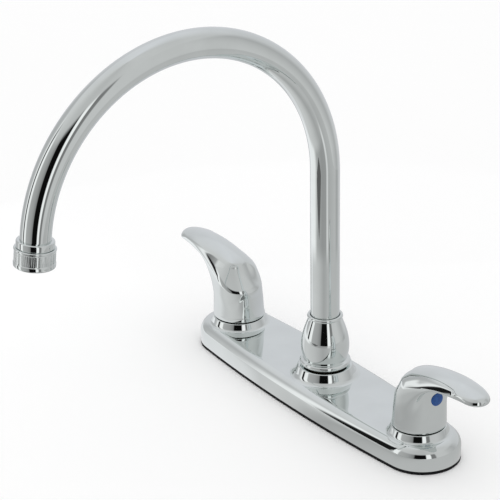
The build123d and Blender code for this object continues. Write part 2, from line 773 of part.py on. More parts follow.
insert_hole_radius = insert_radius * insert_hole_share
with BuildPart() as aerator_insert:
    with BuildSketch(outlet_plane.offset(collar_end + aerator_washer)):
        Circle(insert_radius - seat_clearance)
        with PolarLocations(insert_radius * insert_inner_share, insert_inner_holes):
            Circle(insert_hole_radius, mode=Mode.SUBTRACT)
        with PolarLocations(insert_radius * insert_outer_share, insert_outer_holes):
            Circle(insert_hole_radius, mode=Mode.SUBTRACT)
    extrude(amount=screen_start - collar_end - aerator_washer)
aerator_insert.part.label = "aerator_insert"
export_step(aerator_insert.part, "parts/aerator_insert.step")

screen_reach = insert_radius - outlet_lip - screen_hole_pitch
screen_rows = int(screen_reach / screen_hole_pitch)
screen_steps = [step * screen_hole_pitch for step in range(-screen_rows, screen_rows + 1)]
screen_grid = [Vector(across_x, across_y) for across_x in screen_steps for across_y in screen_steps]
screen_holes = [hole for hole in screen_grid if hole.length <= screen_reach]
with BuildPart() as aerator_screen:
    with BuildSketch(outlet_plane.offset(screen_start)):
        Circle(insert_radius - seat_clearance)
        with Locations(*screen_holes):
            Circle(screen_hole_radius, mode=Mode.SUBTRACT)
    extrude(amount=screen_thickness)
aerator_screen.part.label = "aerator_screen"
export_step(aerator_screen.part, "parts/aerator_screen.step")
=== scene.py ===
from math import atan2, cos, pi, radians, sin, sqrt, tan
import bpy
import numpy as np
from mathutils import Matrix, Vector


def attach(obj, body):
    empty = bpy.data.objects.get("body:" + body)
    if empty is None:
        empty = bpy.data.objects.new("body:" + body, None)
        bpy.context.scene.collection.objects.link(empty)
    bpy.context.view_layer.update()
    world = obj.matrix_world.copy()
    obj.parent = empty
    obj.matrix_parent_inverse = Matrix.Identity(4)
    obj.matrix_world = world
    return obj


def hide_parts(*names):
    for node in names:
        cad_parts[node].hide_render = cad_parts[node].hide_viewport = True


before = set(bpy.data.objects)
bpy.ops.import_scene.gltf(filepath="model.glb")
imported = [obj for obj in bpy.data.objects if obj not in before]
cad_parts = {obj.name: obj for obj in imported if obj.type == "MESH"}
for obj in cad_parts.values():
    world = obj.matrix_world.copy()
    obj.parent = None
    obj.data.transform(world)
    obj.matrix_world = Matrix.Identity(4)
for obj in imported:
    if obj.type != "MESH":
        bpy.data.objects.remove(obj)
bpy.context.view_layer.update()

# Deck gasket. A die cut sheet of black rubber under the plate, squeezed between it and the sink deck.
# Only its edge shows, as a thin black line all round.


# Soft blotches and a fine grain, which every finish on the faucet uses at its own scale
def handled_surface_group():
    grain_per_blotch = 12.0
    group = bpy.data.node_groups.new("handled_surface", "ShaderNodeTree")
    group.interface.new_socket("Vector", in_out="INPUT", socket_type="NodeSocketVector")
    scale_input = group.interface.new_socket("Scale", in_out="INPUT", socket_type="NodeSocketFloat")
    scale_input.default_value = 60.0
    group.interface.new_socket("Blotches", in_out="OUTPUT", socket_type="NodeSocketFloat")
    group.interface.new_socket("Grain", in_out="OUTPUT", socket_type="NodeSocketFloat")
    entry = group.nodes.new("NodeGroupInput")
    result = group.nodes.new("NodeGroupOutput")
    blotches = group.nodes.new("ShaderNodeTexNoise")
    blotches.inputs["Detail"].default_value = 3.0
    finer = group.nodes.new("ShaderNodeMath")
    finer.operation = "MULTIPLY"
    finer.inputs[1].default_value = grain_per_blotch
    grain = group.nodes.new("ShaderNodeTexNoise")
    grain.inputs["Detail"].default_value = 2.0
    group.links.new(entry.outputs["Vector"], blotches.inputs["Vector"])
    group.links.new(entry.outputs["Scale"], blotches.inputs["Scale"])
    group.links.new(entry.outputs["Scale"], finer.inputs[0])
    group.links.new(entry.outputs["Vector"], grain.inputs["Vector"])
    group.links.new(finer.outputs["Value"], grain.inputs["Scale"])
    group.links.new(blotches.outputs["Fac"], result.inputs["Blotches"])
    group.links.new(grain.outputs["Fac"], result.inputs["Grain"])
    return group


handled_surface = handled_surface_group()


# A finish that drifts between two colours and two roughnesses, with a fine grain in its surface
def drifting_finish(name, colours, roughness, scale, grain_height, metallic=0.0):
    drift_start = 0.35
    drift_end = 0.65
    material = bpy.data.materials.new(name)
    material.use_nodes = True
    nodes = material.node_tree.nodes
    links = material.node_tree.links
    shader = nodes["Principled BSDF"]
    shader.inputs["Metallic"].default_value = metallic
    place = nodes.new("ShaderNodeTexCoord")
    surface = nodes.new("ShaderNodeGroup")
    surface.node_tree = handled_surface
    surface.inputs["Scale"].default_value = scale
    tint = nodes.new("ShaderNodeValToRGB")
    tint.color_ramp.elements[0].position = drift_start
    tint.color_ramp.elements[0].color = (*colours[0], 1.0)
    tint.color_ramp.elements[1].position = drift_end
    tint.color_ramp.elements[1].color = (*colours[1], 1.0)
    polish = nodes.new("ShaderNodeMapRange")
    polish.inputs["From Min"].default_value = drift_start
    polish.inputs["From Max"].default_value = drift_end
    polish.inputs["To Min"].default_value = roughness[0]
    polish.inputs["To Max"].default_value = roughness[1]
    bump = nodes.new("ShaderNodeBump")
    bump.inputs["Strength"].default_value = 1.0
    bump.inputs["Distance"].default_value = grain_height
    links.new(place.outputs["Object"], surface.inputs["Vector"])
    links.new(surface.outputs["Blotches"], tint.inputs["Fac"])
    links.new(surface.outputs["Blotches"], polish.inputs["Value"])
    links.new(surface.outputs["Grain"], bump.inputs["Height"])
    links.new(tint.outputs["Color"], shader.inputs["Base Color"])
    links.new(polish.outputs["Result"], shader.inputs["Roughness"])
    links.new(bump.outputs["Normal"], shader.inputs["Normal"])
    return material


# Gives carried over solids their finish
def dress_nodes(material, *node_names):
    for node_name in node_names:
        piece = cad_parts[node_name]
        piece.data.materials.clear()
        piece.data.materials.append(material)


black_rubber = drifting_finish(
    "black_rubber",
    colours=((0.004, 0.004, 0.005), (0.009, 0.009, 0.010)),
    roughness=(0.50, 0.66),
    scale=90.0,
    grain_height=0.00004,
)
black_rubber.node_tree.nodes["Principled BSDF"].inputs["Specular IOR Level"].default_value = 0.12
dress_nodes(black_rubber, "deck_gasket")

# Deck cover. A long chromed plate with bowed sides and round ends, drawn from sheet with a rolled over
# edge, and with a raised collar for each handle and for the spout. The bonnet nuts and the bell nut clamp
# it down.
polished_chrome = drifting_finish(
    "polished_chrome",
    colours=((0.790, 0.825, 0.818), (0.825, 0.862, 0.855)),
    roughness=(0.008, 0.018),
    scale=45.0,
    grain_height=0.0000004,
    metallic=1.0,
)
plate_half_length = 0.1307
plate_half_width = 0.03085
plate_end_radius = 0.0261
plate_bottom = 0.0018
plate_top = 0.0176
plate_edge_radius = 0.008
plate_edge_steps = 18
plate_foot_bevel = 0.0003
plate_sheet = 0.0022
plate_top_insets = (0.0095, 0.013, 0.0165)
spout_collar_size = {"hole": 0.0134, "radius": 0.0188, "top": 0.0252, "flare": 0.0046}
handle_collar_size = {"hole": 0.01135, "radius": 0.01858, "top": 0.0229, "flare": 0.0024}
handle_offset = 0.1016


# A level loop round the plate's outline, drawn in by an inset
def plate_loop(inset, height, side_points=70, end_points=60):
    end_radius = plate_end_radius - inset
    half_width = plate_half_width - inset
    end_x = plate_half_length - plate_end_radius
    side_radius = (end_x**2 + half_width**2 - end_radius**2) / (2 * (half_width - end_radius))
    lean = atan2(side_radius - half_width, end_x)
    sweep = pi / 2 - lean
    half = []
    for step in range(side_points):
        turn = -sweep + 2 * sweep * step / side_points
        half.append((side_radius * sin(turn), half_width - side_radius + side_radius * cos(turn)))
    for step in range(end_points):
        turn = lean - 2 * lean * step / end_points
        half.append((end_x + end_radius * cos(turn), end_radius * sin(turn)))
    return [(x, y, height) for x, y in half] + [(-x, -y, height) for x, y in half]


# Skins a row of closed loops that all have as many points, and closes the first and the last loop,
# unless the row is a ring that ends where it starts
def skin_loops(name, loops, ring=False):
    count = len(loops[0])
    corners = [corner for loop in loops for corner in loop]
    last = len(corners) - count
    faces = []
    for low in range(0, last, count):
        high = low + count
        for column in range(count):
            following = (column + 1) % count
            faces.append((low + column, low + following, high + following, high + column))
    if not ring:
        faces.append(tuple(range(count)))
        faces.append(tuple(range(last, last + count)))
    mesh = bpy.data.meshes.new(name)
    mesh.from_pydata(corners, [], faces)
    piece = bpy.data.objects.new(name, mesh)
    bpy.context.collection.objects.link(piece)
    return piece


# Makes one piece the only selected one and the active one
def pick(piece):
    bpy.ops.object.select_all(action="DESELECT")
    piece.select_set(True)
    bpy.context.view_layer.objects.active = piece


# Merges doubles, turns the faces outwards and smooths all but the sharp edges
def finish_mesh(piece, sharp_angle=35.0):
    pick(piece)
    bpy.ops.object.mode_set(mode="EDIT")
    bpy.ops.mesh.select_all(action="SELECT")
    bpy.ops.mesh.remove_doubles(threshold=0.000002)
    bpy.ops.mesh.normals_make_consistent(inside=False)
    bpy.ops.object.mode_set(mode="OBJECT")
    bpy.ops.object.shade_smooth_by_angle(angle=radians(sharp_angle))


# Spins a closed profile of radius and height points round an upright axis
def turned_piece(name, profile, centre=(0.0, 0.0), steps=144):
    mesh = bpy.data.meshes.new(name)
    corners = [(centre[0] + radius, centre[1], height) for radius, height in profile]
    edges = [(index, (index + 1) % len(profile)) for index in range(len(profile))]
    mesh.from_pydata(corners, edges, [])
    piece = bpy.data.objects.new(name, mesh)
    bpy.context.collection.objects.link(piece)
    pick(piece)
    bpy.ops.object.mode_set(mode="EDIT")
    bpy.ops.mesh.select_all(action="SELECT")
    bpy.ops.mesh.spin(steps=steps, angle=2 * pi, center=(centre[0], centre[1], 0.0), axis=(0.0, 0.0, 1.0))
    bpy.ops.object.mode_set(mode="OBJECT")
    finish_mesh(piece)
    return piece


# Points on an arc from one angle to another, in degrees
def arc(centre, radius, start, end, steps=12):
    turns = [radians(start + (end - start) * step / steps) for step in range(steps + 1)]
    return [(centre[0] + radius * cos(turn), centre[1] + radius * sin(turn)) for turn in turns]


# Joins pieces into the first one
def join_pieces(first, *others):
    pick(first)
    for other in others:
        other.select_set(True)
    bpy.ops.object.join()
    return first


plate_loops = [
    plate_loop(plate_sheet, plate_top - 2 * plate_sheet),
    plate_loop(plate_sheet, plate_bottom),
    plate_loop(plate_foot_bevel, plate_bottom),
    plate_loop(0.0, plate_bottom + plate_foot_bevel),
]
for step in range(plate_edge_steps + 1):
    turn = radians(90 * step / plate_edge_steps)
    inset = plate_edge_radius * (1 - cos(turn))
    plate_loops.append(plate_loop(inset, plate_top - plate_edge_radius * (1 - sin(turn))))
for inset in plate_top_insets:
    plate_loops.append(plate_loop(inset, plate_top))
base_plate = skin_loops("base_plate", plate_loops)
finish_mesh(base_plate, 50.0)


# A raised collar: a short sloping wall with a small round at its top, run into the plate by a flare
def plate_collar(name, centre_x, hole, radius, top, flare):
    slope = 22.0
    edge = 0.0008
    flare_end = 262
    foot_overlap = 0.0012
    foot_sink = 0.0009
    wall_foot = plate_top + flare * (1 - sin(radians(slope)))
    foot_radius = radius + (top - edge - wall_foot) * tan(radians(slope))
    flare_centre = (foot_radius + flare * cos(radians(slope)), plate_top + flare)
    profile = [(hole, plate_top - plate_sheet), (hole, top)]
    profile += arc((radius - edge, top - edge), edge, 90, slope, 8)
    profile += arc(flare_centre, flare, 180 + slope, flare_end, 14)
    profile += [(profile[-1][0] + foot_overlap, plate_top - foot_sink)]
    return turned_piece(name, profile, (centre_x, 0.0))


collars = [plate_collar("spout_collar", 0.0, **spout_collar_size)]
for side_name, side in (("hot", -1), ("cold", 1)):
    collars.append(plate_collar(f"{side_name}_collar", side * handle_offset, **handle_collar_size))
base_plate = join_pieces(base_plate, *collars)
base_plate.data.materials.append(polished_chrome)
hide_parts("deck_cover")
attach(base_plate, "base")

# Valve bodies, cross tubes and spout body. Forged brass valves whose threaded shanks go down through the
# deck, soldered by copper tubes to the brass body under the spout. The spout body is coloured near black,
# as painted shade for where it shows through the gaps. The cover hides all but the shanks.
machined_brass = drifting_finish(
    "machined_brass",
    colours=((0.60, 0.42, 0.17), (0.72, 0.53, 0.25)),
    roughness=(0.20, 0.34),
    scale=70.0,
    grain_height=0.000006,
    metallic=1.0,
)
# Near black brass colour, painted shade for the spout body and the bonnet nuts, which show only through
# gaps
gap_shade_brass = drifting_finish(
    "gap_shade_brass",
    colours=((0.030, 0.022, 0.012), (0.050, 0.036, 0.018)),
    roughness=(0.45, 0.60),
    scale=70.0,
    grain_height=0.000006,
)
drawn_copper = drifting_finish(
    "drawn_copper",
    colours=((0.60, 0.28, 0.16), (0.74, 0.40, 0.26)),
    roughness=(0.24, 0.40),
    scale=55.0,
    grain_height=0.000006,
    metallic=1.0,
)
dress_nodes(drawn_copper, "hot_cross_tube", "cold_cross_tube")
dress_nodes(machined_brass, "hot_valve_body", "cold_valve_body")
# The spout body gets the near black colour of painted shade
dress_nodes(gap_shade_brass, "spout_body")
shank_radius = 0.010475
supply_radius = 0.0103
supply_top = -0.0336
supply_bottom = -0.0516
thread_top = -0.0012
thread_turns = 27
thread_pitch = 0.00181
thread_sink = 0.0001
thread_form = ((0.0, 0.0), (0.0004, 0.0006), (0.0004, 0.0009), (0.0, 0.0015))
thread_core = supply_radius - 0.0008
thread_core_top = -0.0010
thread_core_bottom = supply_bottom + 0.0010
for side_name, side in (("hot", -1), ("cold", 1)):
    profile = [(thread_core, thread_core_bottom), (thread_core, thread_core_top)]
    for turn in range(thread_turns):
        height = thread_top - thread_pitch * turn
        root = (shank_radius if height > supply_top else supply_radius) - thread_sink
        profile += [(root + rise, height - drop) for rise, drop in thread_form]
    thread = turned_piece(f"{side_name}_shank_thread", profile, (side * handle_offset, 0.0), steps=96)
    thread.data.materials.append(machined_brass)
    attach(thread, "base")

# Lock washers and lock nuts. A steel washer and a brass hexagon nut on each shank, drawn up under the
# deck. The nuts are cut from hexagon bar, with their corners turned down on both faces.
plain_steel = drifting_finish(
    "plain_steel",
    colours=((0.52, 0.53, 0.54), (0.64, 0.65, 0.66)),
    roughness=(0.22, 0.36),
    scale=80.0,
    grain_height=0.000005,
    metallic=1.0,
)
dress_nodes(plain_steel, "lock_washers")
nut_apothem = 0.015975
nut_top = -0.0216
nut_bottom = supply_top
nut_chamfer = 0.0016
nut_chamfer_steps = 6
nut_face_radius = nut_apothem - 0.0002
nut_corner_run = nut_apothem / cos(pi / 6) - nut_face_radius


# One loop round a hexagon whose corners are turned down to a limit
def nut_loop(centre_x, limit, height, count=144):
    points = []
    for step in range(count):
        turn = 2 * pi * step / count
        radius = min(nut_apothem / cos(turn % (pi / 3) - pi / 6), limit)
        points.append((centre_x + radius * cos(turn), radius * sin(turn), height))
    return points


lock_nuts = []
for side in (-1, 1):
    centre_x = side * handle_offset
    loops = [nut_loop(centre_x, shank_radius, nut_bottom)]
    for step in range(nut_chamfer_steps + 1):
        share = step / nut_chamfer_steps
        limit = nut_face_radius + nut_corner_run * share
        loops.append(nut_loop(centre_x, limit, nut_bottom + nut_chamfer * share))
    for step in range(nut_chamfer_steps + 1):
        share = 1 - step / nut_chamfer_steps
        limit = nut_face_radius + nut_corner_run * share
        loops.append(nut_loop(centre_x, limit, nut_top - nut_chamfer * share))
    loops.append(nut_loop(centre_x, shank_radius, nut_top))
    loops.append(loops[0])
    lock_nuts.append(skin_loops("shank_lock_nuts", loops, ring=True))
    finish_mesh(lock_nuts[-1], 25.0)
lock_nut_pair = join_pieces(*lock_nuts)
lock_nut_pair.data.materials.append(machined_brass)
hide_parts("lock_nuts")
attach(lock_nut_pair, "base")

# Cartridges. A plastic barrel with a rubber seat seal, two lapped ceramic discs, and a brass stem with its
# o-ring and clip. A brass bonnet nut holds each one down on its valve, coloured near black as painted
# shade for the gap under the hub, and a steel set screw grips its stem.
cartridge_plastic = drifting_finish(
    "cartridge_plastic",
    colours=((0.30, 0.32, 0.35), (0.38, 0.40, 0.43)),
    roughness=(0.38, 0.50),
    scale=60.0,
    grain_height=0.00002,
)
lapped_ceramic = drifting_finish(
    "lapped_ceramic",
    colours=((0.78, 0.76, 0.71), (0.86, 0.84, 0.80)),
    roughness=(0.16, 0.24),
    scale=50.0,
    grain_height=0.000004,
)
for side_name in ("hot", "cold"):
    dress_nodes(black_rubber, f"{side_name}_seat_seal", f"{side_name}_stem_o_ring")
    dress_nodes(cartridge_plastic, f"{side_name}_cartridge_body")
    dress_nodes(lapped_ceramic, f"{side_name}_fixed_disc", f"{side_name}_moving_disc")
    dress_nodes(machined_brass, f"{side_name}_stem")
    dress_nodes(gap_shade_brass, f"{side_name}_bonnet_nut")
    dress_nodes(plain_steel, f"{side_name}_stem_clip", f"{side_name}_set_screw")

# Handles. A chromed zinc casting: a hollow hub that arches over into a leaf shaped lever, with a crisp rim
# and a scooped flank under it. A set screw behind the index button fixes it on the stem.
hub_radius = 0.018284
hub_bore = 0.015834
hub_rim = 0.0237
hub_cavity_top = 0.040
lever_length = 0.065
lever_tip_radius = 0.0097
lever_root_height = 0.0590
lever_tip_bottom = 0.0626
lever_under_radius = 0.115
lever_tip_overrun = 0.0004
arch_foot = 0.0244
arch_clearance = 0.0001
arch_first_tilt = 6.8
arch_runs = ((0.0187, 0.0), (0.0316, 65.6), (0.0640, 32.2))
arch_steps = 40
back_lean = 0.119
back_lean_height = 0.036
crown_radius = 0.0211
crown_half_width = 0.0205
scoop_foot = 0.0462
scoop_start = -0.008
scoop_rise = 0.0225
scoop_run = 0.024
scoop_start_round = 0.004
scoop_slope = 1.15
scoop_end_lift = 0.004
scoop_end_span = (0.044, 0.050)
climb_start = 0.018
climb_round = 0.008
climb_rate = 0.11
climb_side_span = (0.0, 0.005)
steep_gain = 1.45
steep_loss = 1.10
steep_loss_span = (0.0, 0.016)
steep_side_span = (0.004, 0.012)
steep_start_span = (-0.012, -0.002)
brow_round = (0.0011, 0.0008, -0.008, 0.002)
rim_round = (0.0008, 0.0030, 0.050, 0.062)
throat_round = (0.0026, 0.016, 0.006, 0.015)
lower_round = 0.0016


# The line that the handle's back and top follow, as reach, height and tilt: each run has a length, and an
# angle by which it tilts over
def arch_line():
    reach = -hub_radius - arch_clearance
    height = arch_foot
    tilt = arch_first_tilt
    line = [(reach, height, tilt)]
    for length, change in arch_runs:
        for _ in range(arch_steps):
            tilt += change / arch_steps
            reach += length / arch_steps * sin(radians(tilt))
            height += length / arch_steps * cos(radians(tilt))
            line.append((reach, height, tilt))
    return np.array(line)


arch = arch_line()


# How far a point lies outside that line, measured square to it
def arch_distance(reach, height):
    level = np.interp(reach, arch[:, 0], arch[:, 1])
    tilt = np.interp(reach, arch[:, 0], arch[:, 2])
    return (height - level) * np.sin(np.radians(tilt))


# Smooth larger and smooth smaller of two distances
def soft_larger(first, second, blend):
    share = np.clip(0.5 - 0.5 * (second - first) / blend, 0.0, 1.0)
    return second + (first - second) * share + blend * share * (1.0 - share)


def soft_smaller(first, second, blend):
    return -soft_larger(-first, -second, blend)


# Goes softly from nothing to one while a value climbs from low to high
def ease(value, low, high):
    share = np.clip((value - low) / (high - low), 0.0, 1.0)
    return share * share * (3.0 - 2.0 * share)


# A round that grows, from its first size, what it gains, and the span over which it gains that
def grown(size, value):
    start, gain, low, high = size
    return start + gain * ease(value, low, high)


# Nothing for a value below zero and the value itself above it, with a round between
def soft_positive(value, blend):
    return (value + np.hypot(value, blend)) / 2


# Distances to the outline seen from above, which is a round hub and a round tip with straight flanks
# between, and to the hub alone
def plan_distances(forward, width, round_radius, tip_forward):
    slope = (round_radius - lever_tip_radius) / tip_forward
    rise = np.sqrt(1 - slope**2)
    along = forward * rise - width * slope
    hub = np.hypot(forward, width) - round_radius
    tip = np.hypot(forward - tip_forward, width) - lever_tip_radius
    flank = forward * slope + width * rise - round_radius
    return np.where(along < 0, hub, np.where(along > tip_forward * rise, tip, flank)), hub


# Distance to the scoop in the flanks: its ledge climbs along the lever, more so on one side, and it is
# steeper on the other
def scoop_distance(reach, side, height, plan):
    past = soft_positive(reach - scoop_start, scoop_start_round)
    ledge = scoop_foot + scoop_rise * (1.0 - np.exp(-past / scoop_run))
    climb = climb_rate * soft_positive(reach - climb_start, climb_round)
    ledge = ledge + scoop_end_lift * ease(reach, *scoop_end_span) + climb * ease(side, *climb_side_span)
    facing = ease(-side, *steep_side_span) * ease(reach, *steep_start_span)
    steep = scoop_slope + (steep_gain - steep_loss * ease(reach, *steep_loss_span)) * facing
    return (height - ledge + steep * plan) / np.hypot(1.0, steep)


# Distance to the lever's underside, which is one wide arc from the hub to the tip
def under_distance(reach, height):
    chord_reach = lever_length + lever_tip_overrun - hub_radius
    chord = np.array((chord_reach, lever_tip_bottom - lever_root_height))
    chord_length = np.hypot(*chord)
    normal = np.array((chord[1], -chord[0])) / chord_length
    middle = np.array((hub_radius, lever_root_height)) + chord / 2
    centre = middle + normal * sqrt(lever_under_radius**2 - (chord_length / 2) ** 2)
    return lever_under_radius - np.hypot(reach - centre[0], height - centre[1])


# Distance to the handle's surface, negative inside: reach runs out along the lever from the hub's axis
def handle_distance(reach, side, height):
    width = np.abs(side)
    lean = back_lean * np.clip(height - arch_foot, 0.0, back_lean_height)
    tip_forward = lever_length - lever_tip_radius - lean / 2
    plan, hub = plan_distances(reach - lean / 2, width, hub_radius - lean / 2, tip_forward)
    crowned = np.minimum(width, crown_half_width)
    crown = crown_radius - np.sqrt(np.maximum(crown_radius**2 - crowned**2, 0.0))
    top = arch_distance(reach, height) + crown
    scoop = scoop_distance(reach, side, height, plan)
    flanks = soft_larger(plan, scoop, grown(brow_round, reach))
    outer = soft_larger(flanks, top, grown(rim_round, reach))
    lower = soft_smaller(hub, under_distance(reach, height), grown(throat_round, width))
    return soft_larger(outer, lower, lower_round)


handle_points = 264
handle_turns = np.arange(handle_points) * 2 * pi / handle_points
search_length = 0.045
search_steps = 34


# One closed loop of the handle's skin in the plane of two directions, found by halving the way out from a
# centre
def handle_loop(centre, first, second, stretch):
    first_parts = np.outer(np.cos(handle_turns) * stretch[0], first)
    second_parts = np.outer(np.sin(handle_turns) * stretch[1], second)
    directions = first_parts + second_parts
    directions /= np.linalg.norm(directions, axis=1)[:, None]
    near = np.zeros(handle_points)
    far = np.full(handle_points, search_length)
    for _ in range(search_steps):
        middle = (near + far) / 2
        points = centre + directions * middle[:, None]
        outside = handle_distance(points[:, 0], points[:, 1], points[:, 2]) > 0
        far = np.where(outside, middle, far)
        near = np.where(outside, near, middle)
    return [tuple(point) for point in centre + directions * near[:, None]]


across = np.array((0.0, 1.0, 0.0))
backward = np.array((-1.0, 0.0, 0.0))
upward = np.array((0.0, 0.0, 1.0))
elbow = np.array((0.024, 0.0, 0.0455))
mouth_bevel = 0.0004
mouth_round = 0.0006
mouth_round_middle = 0.0002
hub_skin_start = hub_rim + 0.003
lever_middle_rise = 0.01985
lever_middle_lift = 0.0006
lever_top = 0.0700
lever_top_drop = 0.0018
lever_top_drop_start = 0.045
lever_bottom_span = (hub_radius - 0.006, 0.062)
tip_reach = lever_length - 0.00015
hub_loops = 30
elbow_loops = 110
lever_loops = 90
handle_loops = []
for radius, height in (
    (hub_bore, hub_cavity_top),
    (hub_bore, hub_rim + mouth_bevel),
    (hub_bore + mouth_bevel, hub_rim),
    (hub_radius - mouth_round, hub_rim),
    (hub_radius - mouth_round_middle, hub_rim + mouth_round_middle),
    (hub_radius, hub_rim + mouth_round),
):
    handle_loops.append([(-radius * cos(turn), radius * sin(turn), height) for turn in handle_turns])
for height in np.linspace(hub_skin_start, elbow[2], hub_loops)[:-1]:
    handle_loops.append(handle_loop(np.array((0.0, 0.0, height)), backward, across, (1.0, 1.0)))
for step in range(elbow_loops + 1):
    share = step / elbow_loops
    turn = radians(90.0 * step / elbow_loops)
    outwards = backward * cos(turn) + upward * sin(turn)
    centre = elbow + outwards * (elbow[0] * (1 - share) + lever_middle_rise * share)
    handle_loops.append(handle_loop(centre, outwards, across, (1.0 - 0.5 * share, 1.0)))
for step in range(1, lever_loops + 1):
    reach = elbow[0] + (tip_reach - elbow[0]) * sin(radians(90.0 * step / lever_loops))
    bottom_share = ease(reach, *lever_bottom_span)
    bottom = lever_root_height + (lever_tip_bottom - lever_root_height) * bottom_share
    drop = lever_top_drop * ease(reach, lever_top_drop_start, lever_length)
    middle = (bottom + lever_top - drop) / 2 + lever_middle_lift
    handle_loops.append(handle_loop(np.array((reach, 0.0, middle)), upward, across, (0.5, 1.0)))
cold_handle = skin_loops("cold_lever_handle", handle_loops)
cold_handle.data.transform(Matrix.Translation((handle_offset, 0.0, 0.0)))
finish_mesh(cold_handle, 60.0)
cold_handle.data.materials.append(polished_chrome)
hot_handle = cold_handle.copy()
hot_handle.data = cold_handle.data.copy()
hot_handle.name = "hot_lever_handle"
bpy.context.collection.objects.link(hot_handle)
hot_handle.data.transform(Matrix.Rotation(pi, 4, "Z"))
for side_name, piece in (("hot", hot_handle), ("cold", cold_handle)):
    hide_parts(f"{side_name}_handle")
    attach(piece, f"{side_name}_lever")

# Index buttons. Small domed plugs of gloss plastic, blue for cold and red for hot, pressed into the hub
# over the set screw.
button_height = 0.048
button_radius = 0.0046
button_foot = 0.01428
button_shoulder = 0.0039
button_edge = 0.0005
button_dome = ((button_radius * 0.5, 0.00448), (0.0, 0.0046))
blue_plastic = drifting_finish(
    "blue_plastic",
    colours=((0.003, 0.048, 0.205), (0.006, 0.068, 0.255)),
    roughness=(0.14, 0.24),
    scale=400.0,
    grain_height=0.000004,
)
red_plastic = drifting_finish(
    "red_plastic",
    colours=((0.40, 0.008, 0.010), (0.48, 0.014, 0.016)),
    roughness=(0.14, 0.24),
    scale=400.0,
    grain_height=0.000004,
)
for side_name, side, material in (("hot", -1, red_plastic), ("cold", 1, blue_plastic)):
    profile = [(0.0, 0.0), (button_radius, 0.0)]
    profile += arc((button_radius - button_edge, button_shoulder), button_edge, 0, 60, 6)
    profile += button_dome
    button = turned_piece(f"{side_name}_button", profile, steps=48)
    button.data.transform(Matrix.Rotation(side * pi / 2, 4, "Y"))
    button.data.transform(Matrix.Translation((side * (handle_offset + button_foot), 0.0, button_height)))
    button.data.materials.append(material)
    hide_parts(f"{side_name}_index_button")
    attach(button, f"{side_name}_lever")

# Spout tail. A brass tail with two o-rings is brazed into the tube's foot. It turns in the spout body,
# steadied by a plastic bush and kept in by a plastic ring in the tube's groove.
white_plastic = drifting_finish(
    "white_plastic",
    colours=((0.72, 0.72, 0.70), (0.80, 0.80, 0.78)),
    roughness=(0.36, 0.48),
    scale=60.0,
    grain_height=0.00002,
)
dress_nodes(machined_brass, "spout_tail_piece")
dress_nodes(black_rubber, "spout_o_rings")
dress_nodes(white_plastic, "spout_bush", "spout_retaining_ring")

# Gooseneck. One length of chromed brass tube, drawn straight, bent over a former to nearly a half circle
# and polished before plating.
tube_radius = 0.0099
tube_wall = 0.0015
tube_foot = 0.0269
straight_top = 0.1682
straight_steps = 8
bend_radius = 0.1112
bend_angle = radians(174.0)
bend_steps = 150
straight_end = 0.010
outlet_direction = Vector((0.0, -sin(bend_angle), cos(bend_angle)))
bpy.ops.object.select_all(action="DESELECT")
bpy.ops.mesh.primitive_circle_add(vertices=96, radius=tube_radius, location=(0.0, 0.0, tube_foot))
gooseneck = bpy.context.active_object
gooseneck.name = "gooseneck_tube"
bpy.ops.object.transform_apply(location=True, rotation=True, scale=True)
bpy.ops.object.mode_set(mode="EDIT")
bpy.ops.mesh.select_all(action="SELECT")
straight_move = (0.0, 0.0, (straight_top - tube_foot) / straight_steps)
for _ in range(straight_steps):
    bpy.ops.mesh.extrude_region_move(TRANSFORM_OT_translate={"value": straight_move})
bpy.ops.mesh.spin(
    steps=bend_steps, angle=bend_angle, center=(0.0, -bend_radius, straight_top), axis=(-1.0, 0.0, 0.0)
)
bpy.ops.mesh.extrude_region_move(TRANSFORM_OT_translate={"value": outlet_direction * straight_end})
bpy.ops.object.mode_set(mode="OBJECT")
finish_mesh(gooseneck)
wall = gooseneck.modifiers.new("tube_wall", "SOLIDIFY")
wall.thickness = tube_wall
wall.offset = -1.0
bpy.ops.object.modifier_apply(modifier=wall.name)
bpy.ops.object.shade_smooth_by_angle(angle=radians(35.0))
gooseneck.data.materials.append(polished_chrome)
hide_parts("spout_tube")
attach(gooseneck, "spout")

# Bell nut. Turned from brass bar and chromed: a foot ring, a bulb and a bead round the tube. It screws on
# the spout body's nipple and keeps the spout down.
bell_bottom = 0.0262
bell_top = 0.0630
bell_lip = bell_top - 0.0003
bell_bore = 0.01305
bell_tube_hole = 0.0103
bell_shoulder = 0.0467
foot_ring_radius = 0.01575
foot_ring_round = 0.0017
foot_groove = (0.0152, bell_bottom + 0.0037)
bulb_bottom = bell_bottom + 0.0039
bulb_top = bell_top - 0.0028 - 0.0004
bulb_foot_radius = 0.0149
bulb_neck_radius = 0.0115
bulb_swell = 0.0029
bulb_swell_lean = 0.86
bulb_steps = 28
bead_radius = 0.0109
bead_height = bell_top - 0.0014
bead_round = 0.0013
bell_profile = [(bell_bore, bell_bottom)]
bell_profile += arc((foot_ring_radius, bell_bottom + foot_ring_round), foot_ring_round, -80, 80, 12)
bell_profile += [foot_groove]
for step in range(bulb_steps + 1):
    share = step / bulb_steps
    taper = bulb_foot_radius + (bulb_neck_radius - bulb_foot_radius) * share
    bulge = taper + bulb_swell * sin(pi * share**bulb_swell_lean)
    bell_profile.append((bulge, bulb_bottom + (bulb_top - bulb_bottom) * share))
bell_profile += arc((bead_radius, bead_height), bead_round, -70, 100, 12)
bell_profile += [(bell_tube_hole, bell_lip), (bell_tube_hole, bell_shoulder), (bell_bore, bell_shoulder)]
bell_nut = turned_piece("bell_nut", bell_profile)
bell_nut.data.materials.append(polished_chrome)
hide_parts("spout_nut")
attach(bell_nut, "base")

